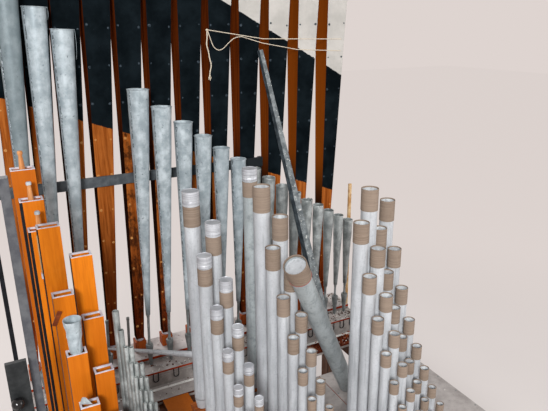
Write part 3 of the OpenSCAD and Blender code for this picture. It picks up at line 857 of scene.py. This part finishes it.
def reed_cones():
    """Thin dented cones. The pale ones have a rolled rim and a jagged lapped seam."""
    piece = Piece("reed_metal_cones")
    for k, (low, low_r, high, high_r) in enumerate(rods("reed_resonators")):
        turn, tall = span(low, high)
        pale = k < PALE_REEDS
        material = REED_BLUE if k == 0 else REED_PALE if pale else REED_DARK
        bent = 0.0014 if pale else 0.0026
        ragged = 0.016 if k == RAGGED else 0.003
        verts = []
        for j in range(CONE_ROWS + 1):
            t = 1 - (1 - j / CONE_ROWS) ** 1.6
            r = (low_r + (high_r - low_r) * t) - 0.001
            near_top = max(0, t - 0.8) / 0.2
            for s in range(ROUND):
                a = 2 * pi * s / ROUND
                wave = round_noise(a, 1.6, t * 14, k * 9)
                rim = round_noise(a, 3, 3.3, k * 5) * ragged * near_top
                dented = r + wave * bent * (0.3 + near_top) - bent * near_top
                verts.append(around(low, turn, dented, a, tall * t - abs(rim)))
        piece.add(verts, ring_faces(CONE_ROWS + 1, ROUND), material, random())
        if pale:
            rim = [(high_r + out, tall - down - 0.0015) for out, down in REED_RIM]
            piece.lathe(rim, material, low, turn, tint=0)
            seam = []
            for i, edge in product(range(SEAM_ROWS + 1), (-1, 1)):
                t = 1 - 0.8 * i / SEAM_ROWS
                r = low_r + (high_r - low_r) * t + 0.0004
                broad = noise.noise(Vector((k * 7, edge * 2, t * 21)))
                fine = noise.noise(Vector((k * 7, edge * 2 + 9, t * 83)))
                jag = 0.0012 + 0.012 * max(0, broad) + 0.005 * abs(fine)
                seam.append(around(low, turn, r, radians(215 - 2 * k) + edge * jag / r, tall * t))
            piece.add(seam, strip_faces(SEAM_ROWS), SEAM, 1)
        if k in TORN:
            a, drop = TORN[k]
            strip = []
            for i, edge in product(range(TORN_ROWS + 1), (-1, 1)):
                t = i / TORN_ROWS
                out = high_r + 0.004 * sin(pi * t) + 0.002
                b = a + edge * 0.012 * (1 - 0.6 * t) / high_r / 2
                strip.append(around(low, turn, out, b, tall - drop * t))
            piece.add(strip, strip_faces(TORN_ROWS), material, 1)
    piece.make("reed_metal", "reed_resonators", wall=0.0012)


def reed_boots():
    """Boots on pointed tips, and the cones' stems with a collar at each end."""
    piece = Piece("reed_boot_metal")
    for low, low_r, high, high_r in rods("reed_boots", 0.003):
        turn, tall = span(low, high)
        if high_r > low_r * 1.3:
            r, sides = high_r, ROUND
            profile = [(0, 0.002), (0.007, 0), (0.0095, 0.001), (r * 0.62, tall * 0.42),
                       (r * 0.9, tall * 0.78), (r, tall * 0.86), (r, tall - 0.004), (r * 0.96, tall - 0.0005),
                       (r * 0.5, tall), (0, tall)]
        else:
            r, sides = low_r * 0.82, 24
            profile = [(0, 0), (low_r, 0), (low_r, 0.018), (r, 0.021), (r, tall - 0.02),
                       (low_r * 0.95, tall - 0.016), (low_r * 0.95, tall), (0, tall)]
        piece.lathe(profile, REED_DARK, low, turn, sides=sides, tint=random())
    piece.make("reed_metal", "reed_boots")


reed_cones()
reed_boots()


# Wooden resonators, deeper at the back than they are wide
DEEPER = 1.18
WOOD_WALL = 0.012
WOOD_ROWS = 10
SOOTY = (4, 5)
NAIL_PITCH = 0.205


def resonator_boards():
    """Square pipes that widen to the open top, with filled nail holes along their edges."""
    piece = Piece("resonator_boards")
    spots = Piece("filler_spots")
    for k, (low, low_r, high, high_r) in enumerate(rods("wood_resonators", 0.012)):
        turn, tall = span(low, high)
        a = low_r / sqrt(2)
        b = high_r / sqrt(2) + 0.002
        tint = 0.95 if k in SOOTY else uniform(0.1, 0.7)
        verts = []
        outside = [(i / WOOD_ROWS, 0) for i in range(WOOD_ROWS + 1)]
        inside = [(1 - i / WOOD_ROWS, WOOD_WALL) for i in range(WOOD_ROWS)] + [(0, WOOD_WALL * 0.9)]
        for t, inset in outside + inside:
            h = a + (b - a) * t
            side, back = h - inset, h * DEEPER - inset
            verts += [low + turn @ Vector((x, y, tall * t)) for x, y in
                      ((-side, -side), (side, -side), (side, back), (-side, back))]
        piece.add(verts, ring_faces(2 * (WOOD_ROWS + 1), close=True), RESONATOR, tint)
        for i in range(int(tall / NAIL_PITCH)):
            t = (i + 0.5) * NAIL_PITCH / tall
            h = a + (b - a) * t
            for side, face in ((-1, -1), (-1, 1), (1, -1), (1, 1)):
                r = uniform(0.0045, 0.0085)
                out = face * (h * (DEEPER if face > 0 else 1) - 0.0008)
                spot = low + turn @ Vector((side * (h - 0.013), out, tall * t + uniform(-0.01, 0.01)))
                spots.lathe([(0, -0.001), (r, -0.001), (r, 0.0009), (r * 0.8, 0.0012), (0, 0.0012)],
                            FILLER, spot, towards((0, face, 0)), sides=12)
    piece.make("painted_wood", "wood_resonators", bevel=0.0012)
    spots.make("painted_wood")


def wooden_boots():
    """Square blocks, 80 of a boot's 94 mm high, each with a ring on top."""
    blocks = Piece("boot_blocks")
    rings = Piece("boot_rings")
    for low, high in boxes("wood_boots"):
        mid = (low + high) / 2
        top = low.z + (high.z - low.z) * 80 / 94
        blocks.box(low, (high.x, high.y, top), BOOT_WOOD, random())
        rings.lathe([(0.015, 0), (0.027, 0), (0.027, 0.012), (0.0255, 0.014), (0.017, 0.014),
                     (0.015, 0.012)], RIM_PAINT, (mid.x, mid.y, top), close=True)
    blocks.make("orange_wood", "wood_boots", bevel=0.003)
    rings.make("grey_paint")


resonator_boards()
wooden_boots()


# Wooden flutes
FLUTE_WALL = 0.008
FLUTE_RIM = 0.003


def square_rings(low, high, levels):
    """Corners of upright square rings; each level is an inset and a height."""
    return [(x, y, z) for i, z in levels for x, y in ((low.x + i, low.y + i), (high.x - i, low.y + i),
                                                      (high.x - i, high.y - i), (low.x + i, high.y - i))]


def flute_bodies():
    """Wooden pipes with painted rims and covered mouths. The tallest and the lowest are darker."""
    piece = Piece("flute_boards")
    rims = Piece("flute_rims")
    wall = FLUTE_WALL
    for low, high in boxes("flute_bodies"):
        mid = (low + high) / 2
        rim = high.z - FLUTE_RIM
        tint = min(1, max(0, (BOARD_TOP + 1.25 - high.z) / 0.9, (high.z - BOARD_TOP - 1.25) / 0.25))
        verts = square_rings(low, high, [(0, low.z), (0, rim), (wall, rim), (wall, low.z + 0.012)])
        piece.add(verts, [(3, 2, 1, 0)] + ring_faces(4) + [(12, 13, 14, 15)], ORANGE, tint)
        levels = [(0, rim), (0, high.z), (wall, high.z), (wall + 0.0006, rim - 0.005)]
        verts = square_rings(low, high, levels)
        rims.add(verts, ring_faces(4, close=True), RIM_PAINT, tint)
        half = (high.x - low.x) / 2 * 0.96
        cover = min(0.16, (high.z - low.z) * 0.3)
        piece.box((mid.x - half, high.y, low.z + 0.004), (mid.x + half, high.y + 0.007, low.z + cover),
                  ORANGE, tint)
    piece.make("orange_wood", "flute_bodies", bevel=0.0012)
    rims.make("orange_wood", bevel=0.0008)


def flute_stoppers():
    """Stoppers with tapered handles. The tallest knob is bare wood, the others are grey."""
    piece = Piece("stopper_wood")
    for k, (low, high) in enumerate(from_tallest("flute_stoppers")):
        mid = (low + high) / 2
        block = low.z + 0.060
        tall = high.z - block
        piece.box(low, (high.x, high.y, block), ORANGE, 0.9)
        profile = [(0.013, 0), (0.0115, tall * 0.3), (0.0095, tall * 0.62), (0.0085, tall * 0.76),
                   (0.0115, tall * 0.83), (0.012, tall * 0.93), (0.0095, tall * 0.99), (0, tall)]
        at = (mid.x, mid.y, block)
        piece.lathe(profile[:5], HANDLE, at, sides=32, tint=0.1)
        piece.lathe(profile[4:], HANDLE if k == 0 else HANDLE_GREY, at, sides=32)
    piece.make("orange_wood", "flute_stoppers", bevel=0.001)


def flute_trims(columns):
    """A batten, near-black strips of painted shade along some left edges, and a tilted block on flutes,
    counted from the tallest.
    """
    piece = Piece("flute_trims")
    low, high = columns[2]
    x, y, z = low.x, low.y, high.z
    piece.box((x - 0.0045, y + 0.012, z - 0.21), (x, y + 0.024, z - 0.035), PALE, 0.2)
    piece.box((x - 0.0065, y + 0.010, z - 0.235), (x, y + 0.027, z - 0.21), RIM_PAINT)
    # painted shade: thin near-black strips on the fronts' left edges stand for the shaded sides
    for k, width in ((1, 0.012), (3, 0.011), (2, 0.004)):
        low, high = columns[k]
        piece.box((low.x - 0.0008, low.y - 0.0010, low.z + 0.002),
                  (low.x + width, low.y + 0.001, high.z - 0.004), BAR_DARK)
    low, high = columns[5]
    corner = Vector((0.009, 0.004, 0.034))
    piece.box(-corner, corner, CHEST, 0.5, Matrix.Rotation(radians(26), 3, "Y"),
              (low.x + 0.006, low.y - 0.0045, high.z - 0.095))
    piece.make("orange_wood", bevel=0.0008)


def torn_paper(low, high):
    """Curled scrap of paper that sticks out of a flute's top."""
    piece = Piece("torn_paper")
    rows, cols = 6, 3
    verts = []
    for i in range(rows + 1):
        t = i / rows
        for j in range(cols + 1):
            u = j / cols * (1 - 0.75 * t)
            bend = 0.006 * sin(pi * t) * (1 - u)
            verts.append((low.x + 0.002 + 0.046 * u + 0.012 * t, low.y + 0.030 - 0.022 * u + bend,
                          high.z + 0.001 + 0.030 * t))
    quads = [(k, k + 1, k + 5, k + 4) for k in (i * 4 + j for i in range(rows) for j in range(cols))]
    piece.add(verts, quads, PAPER)
    piece.make("orange_wood", wall=0.0006)


flutes = from_tallest("flute_bodies")
flute_bodies()
turned("flute_foot_wood", "flute_feet", BOOT_WOOD, "orange_wood", lambda r, tall: [
    (0, 0.002), (0.005, 0), (0.009, 0.001), (0.011, tall * 0.25), (r * 0.85, tall * 0.7), (r, tall - 0.01),
    (r, tall), (0, tall)], sides=32)
flute_stoppers()
flute_trims(flutes)
torn_paper(*flutes[9])


# Thin pipes with slightly gathered tops, on pointed feet
turned("mixture_metal", "mixture_pipes", THIN, "reed_metal", lambda r, tall: [
    (r - 0.0012, 0), (r, 0), (r, tall - 0.006), (r - 0.0008, tall - 0.001), (r - 0.0018, tall),
    (r - 0.003, tall - 0.001), (r - 0.0024, tall - 0.006)], sides=28, close=True)
turned("mixture_foot_metal", "mixture_feet", THIN, "reed_metal", lambda r, tall: [
    (0, 0.001), (0.003, 0), (0.0045, 0.001), (r, tall - 0.002), (r, tall), (0, tall)], sides=24)


# Hooks and planks


def wire_hooks():
    """Bent wire hooks, open at the top."""
    piece = Piece("wire_hooks")
    for low, high in boxes("edge_hooks"):
        mid = (low + high) / 2
        r = (high.x - low.x) / 2 - 0.002
        bend = Vector((mid.x, mid.y, low.z + r + 0.002))
        route = [bend + Vector((-r * cos(a), 0, -r * sin(a))) for a in [pi * i / 14 for i in range(15)]]
        left, right = (Vector((mid.x + side * r, mid.y, high.z)) for side in (-1, 1))
        piece.tube([left] + route + [right], 0.0028, BAR_DARK)
    piece.make("flue_metal", "edge_hooks")


def walk_planks():
    """Planks of the walk. The ledge along the rear chest has a white edge."""
    piece = Piece("walk_planks")
    for low, high in boxes("walk_boards"):
        along = high.x - low.x > 1
        ledge = along and high.y - low.y < 0.06
        material = PLANK if ledge else RUSTY_PLANK if along else CHEST if low.x > 0 else ORANGE
        piece.box(low, high, material, random())
        if ledge:
            piece.box((low.x, low.y - 0.0015, low.z + 0.004), (high.x, low.y + 0.018, high.z + 0.001),
                      WHITE_EDGE)
    piece.make("orange_wood", "walk_boards", bevel=0.0015)


wire_hooks()
walk_planks()


# Fallen, leaning and loose pieces


def fallen_pipe():
    """Leaning pipe with its stopped top, its card sleeve and a red thread."""
    low, r, high, _ = ends_of("fallen_pipe")
    turn, tall = span(low, high)
    piece = Piece("fallen_metal")

    def dent(p, a, r=r):
        return swollen(p, (round_noise(a, 1.5, p.z * 4) * 0.0006 - 0.0004) / r)

    profile = [(r - 0.0012, 0), (r, 0.0004), (r, tall * 0.3), (r, tall * 0.7), (r, tall - 0.0005),
               (r - 0.0012, tall)]
    piece.lathe(profile, FALLEN, low, turn, shape=dent, close=True, sides=64)
    profile = [(r - 0.0016, tall - 0.03), (r - 0.0016, tall - 0.012), (r * 0.9, tall - 0.0125),
               (0, tall - 0.012), (0, tall - 0.016), (r * 0.9, tall - 0.03)]
    piece.lathe(profile, METAL, low, turn, tint=0, sides=64)
    piece.make("flue_metal", "fallen_pipe")
    low, r, high, _ = ends_of("fallen_sleeve")
    piece = Piece("fallen_card")
    profile = sleeve_profile(r, (high - low).length, 0.004, 0.001, 0.001)
    piece.lathe(profile, CARD, low, turn, close=True, sides=64, tint=0.3)
    thread = [(r - 0.0005, 0.001), (r + 0.0006, 0.0015), (r + 0.0006, 0.0035), (r - 0.0005, 0.004)]
    piece.lathe(thread, RED, low, turn, close=True, sides=64)
    piece.make("tan_band", "fallen_sleeve")


def fallen_cone():
    """Cone on the reed board, with a black ball and a pale bead at its thin end."""
    low, low_r, high, high_r = ends_of("fallen_cone")
    turn, tall = span(low, high)
    piece = Piece("fallen_cone_metal")
    rows = 14
    profile = [(low_r + (high_r - low_r) * i / rows - 0.0002, tall * i / rows) for i in range(rows + 1)]
    piece.lathe([(0, 0)] + profile + [(0, tall)], METAL, low, turn, tint=0)
    piece.make("flue_metal", "fallen_cone")
    tip = Piece("cone_tip")
    ball = [(cos(t), sin(t)) for t in [radians(d) for d in range(-75, 90, 15)]]
    ball = [(0, -1)] + ball + [(0, 1)]
    tip.lathe([(r * 0.013, z * 0.011 - 0.008) for r, z in ball], BLACK, low, turn, sides=28)
    bead = low + Vector((0.006, -0.012, -0.022))
    tip.lathe([(r * 0.007, z * 0.007) for r, z in ball], PLASTER, bead, sides=24)
    tip.make("flue_metal")


def leaning_bar():
    """Square tapered bar, turned a little: a darker copy of its grey paint on the left as painted shade, and
    scuffed grey in front.
    """
    low, low_r, high, high_r = ends_of("leaning_bar")
    turn, tall = span(low, high)
    turn = turn @ Matrix.Rotation(radians(10), 3, "Z")
    rows = 24
    verts = []
    for i in range(rows + 1):
        t = i / rows
        h = (low_r + (high_r - low_r) * t) / sqrt(2) * 0.80
        verts += [low + turn @ Vector((x * h, y * h, tall * t))
                  for x, y in ((-1, -1), (1, -1), (1, 1), (-1, 1))]
    faces = ring_faces(rows + 1)
    right = [face for i, face in enumerate(faces) if i % 4 < 2]
    left = [face for i, face in enumerate(faces) if i % 4 > 1]
    piece = Piece("leaning_bar_painted")
    # painted shade: the left faces and the ends take the darker copy of the grey paint
    piece.add(verts, left + [(3, 2, 1, 0), tuple(rows * 4 + s for s in range(4))], BAR_SHADED_SIDE)
    piece.faces += right
    piece.mats += [piece.slot_of(BAR_SCUFFED)] * len(right)
    piece.make("grey_paint", "leaning_bar", bevel=0.002)


def flared_piece():
    """Crumpled flared metal left on a flute's rim."""
    low, low_r, high, high_r = next(rods("loose_cylinder", 0.003))
    tall = high.z - low.z
    piece = Piece("flared_metal")
    rows = 20

    def dents(p, a):
        t = p.z / tall
        push = round_noise(a, 2.2, t * 5) * 0.0035 - 0.0025
        return swollen(p, push / low_r * (0.4 + 0.6 * sin(pi * t)))

    outer = [(low_r + (high_r - low_r) * i / rows, tall * i / rows) for i in range(rows + 1)]
    inner = [(r - 0.0015, z) for r, z in reversed(outer)]
    piece.lathe(outer + inner, REED_PALE, low, shape=dents, close=True, sides=56)
    piece.make("flue_metal", "loose_cylinder")


def knobbed_board():
    """Dark painted board with a round black knob."""
    points = solids("side_board")[0]
    low, high = box_of(points)
    front = low.y + 0.048
    piece = Piece("side_panel")
    piece.box((low.x, front, low.z), high, BOARD_PAINT)
    low, high = box_of(points[points[:, 1] < front - 0.01])
    r = (high.x - low.x) / 2
    arc = [(r * cos(a), 0.026 + r * sin(a)) for a in [radians(d) for d in range(-66, 90, 9)]]
    profile = [(0.008, -0.001), (0.0075, 0.006)] + arc + [(0, 0.026 + r)]
    at = ((low.x + high.x) / 2, front, (low.z + high.z) / 2)
    piece.lathe(profile, BLACK, at, towards((0, -1, 0)), sides=40)
    piece.make("grey_paint", "side_board", bevel=0.0015)


fallen_pipe()
fallen_cone()
leaning_bar()
flared_piece()
knobbed_board()


# Rack boards keep their own meshes, with a better material
for node in ("cap_rack", "open_rack", "right_rack", "outer_rack", "mixture_rack"):
    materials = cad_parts[node].data.materials
    materials.clear()
    materials.append(RACK_WOOD)


# Rubble and screws. A bit of rubble has twelve corners and twenty faces
GOLD = (1 + sqrt(5)) / 2
BIT_PAIRS = [(a, b) for b in (GOLD, -GOLD) for a in (-1, 1)]
BIT_CORNERS = [Vector(p).normalized() for p in
               [(a, b, 0) for a, b in BIT_PAIRS] + [(0, a, b) for a, b in BIT_PAIRS]
               + [(b, 0, a) for a, b in BIT_PAIRS]]
BIT_FACES = [(0, 11, 5), (0, 5, 1), (0, 1, 7), (0, 7, 10), (0, 10, 11), (1, 5, 9), (5, 11, 4),
             (11, 10, 2), (10, 7, 6), (7, 1, 8), (3, 9, 4), (3, 4, 2), (3, 2, 6), (3, 6, 8), (3, 8, 9),
             (4, 9, 5), (2, 4, 11), (6, 2, 10), (8, 6, 7), (9, 8, 1)]
SCREW_HEAD = [(0, -0.001), (0.0052, -0.001), (0.0052, 0.0004), (0.004, 0.0014), (0.0018, 0.002),
              (0, 0.0021)]


def rubble():
    """Bits of plaster and dirt, most of them at the right end of the rear boards."""
    piece = Piece("rubble")
    riser, rear, walk = (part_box(node) for node in ("wood_board", "rear_board", "walk_boards"))
    strips = [(riser[0][1] + 0.01, riser[1][1] - 0.02, riser[1][2], 620, 3),
              (rear[0][1] + 0.006, riser[0][1] - 0.006, rear[1][2], 900, 3.2),
              (walk[1][1] - 0.15, walk[1][1] - 0.006, walk[1][2], 420, 2.8),
              (-1, 0.2, BOARD_TOP, 160, 1)]
    for front_y, back_y, top, count, crowd in strips:
        for _ in range(count):
            x = 1.14 - 2.25 * random() ** crowd
            size = uniform(0.0015, 0.0070)
            at = Vector((x, uniform(front_y, back_y), top + size * 0.35))
            turn = Matrix.Rotation(uniform(0, 6.28), 3, "Z")
            flat = Vector((uniform(0.7, 1.5), uniform(0.6, 1.2), uniform(0.4, 0.8)))
            verts = [at + turn @ (p * flat) * size * uniform(0.75, 1.2) for p in BIT_CORNERS]
            rusty = top < BOARD_TOP - 0.05 and x > 0.4
            dirt = BOOT_WOOD if rusty else DARK
            material = PLASTER if random() < (0.35 if rusty else 0.75) else dirt
            piece.add(verts, BIT_FACES, material, random())
    piece.make("dusty_board", smooth=20)


def board_screws():
    """Screw heads in pairs along the joints of the toe boards."""
    piece = Piece("board_screws")
    for low, high in boxes("front_boards"):
        if high.x - low.x < 0.2:
            continue
        for i in range(9):
            y = low.y + 0.05 + (high.y - low.y - 0.1) * i / 8
            for x in (low.x + 0.014, high.x - 0.014):
                piece.lathe(SCREW_HEAD, THIN, (x, y, high.z), sides=14)
    piece.make("reed_metal")


rubble()
board_screws()


# Stage and light
BACKGROUND = (222, 212, 208)
LAMPS = [("key", (-3.4, -6.4, 5.2), 1.6, 620), ("fill", (5.5, -3.5, 3.6), 3, 130),
         ("back", (-2, 6, 4.5), 3, 240)]
LAMP_AIM = Vector((0, 0, 1.6))


def show_pale(t, surface, strength=1):
    """Mixes the background's pale light into a surface, as the camera, gloss or glass sees it."""
    pale = t.add("Emission", {"Color": colour(BACKGROUND)}).outputs[0]
    seen = t.add("LightPath").outputs
    factor = t.math("MAXIMUM", seen["Is Camera Ray"], seen["Is Glossy Ray"])
    factor = t.math("MAXIMUM", factor, seen["Is Transmission Ray"])
    share = t.math("MULTIPLY", factor, strength)
    return t.add("MixShader", {0: share, 1: surface, 2: pale}).outputs[0]


def studio():
    """Pale world, and three soft lamps that look at the middle of the organ."""
    SCENE.view_settings.view_transform = "Standard"
    SCENE.world = bpy.data.worlds.new("studio")
    t = Tree(SCENE.world)
    t.tree.nodes.clear()
    light = t.add("Background", {"Color": (1, 0.98, 0.96, 1), "Strength": 0.42}).outputs[0]
    t.add("OutputWorld", {"Surface": show_pale(t, light)})
    for name, at, size, power in LAMPS:
        data = bpy.data.lights.new(name, "AREA")
        data.size = size
        data.energy = power
        lamp = bpy.data.objects.new(name, data)
        lamp.location = at
        lamp.rotation_euler = (LAMP_AIM - Vector(at)).to_track_quat("-Z", "Y").to_euler()
        SCENE.collection.objects.link(lamp)


def floor():
    """Pale floor with shadows near the organ, fading into the background."""
    n = Nodes("floor")
    n.base = n.mix(n.noise(0.8, 3), (212, 206, 204), (222, 216, 214))
    n.finish(0.8, 0, 0.1)
    away = n.add("VectorMath", {0: n.place}, operation="LENGTH").outputs["Value"]
    surface = show_pale(n, n.shader.outputs[0], n.range(away, 1.2, 6, 0.25, 0.95))
    n.fill(n.tree.nodes["Material Output"], {"Surface": surface})
    bpy.ops.mesh.primitive_plane_add(size=60, location=(0, 0, -0.0005))
    plane = bpy.context.object
    plane.name = "floor"
    plane.data.materials.append(n.owner)


studio()
floor()
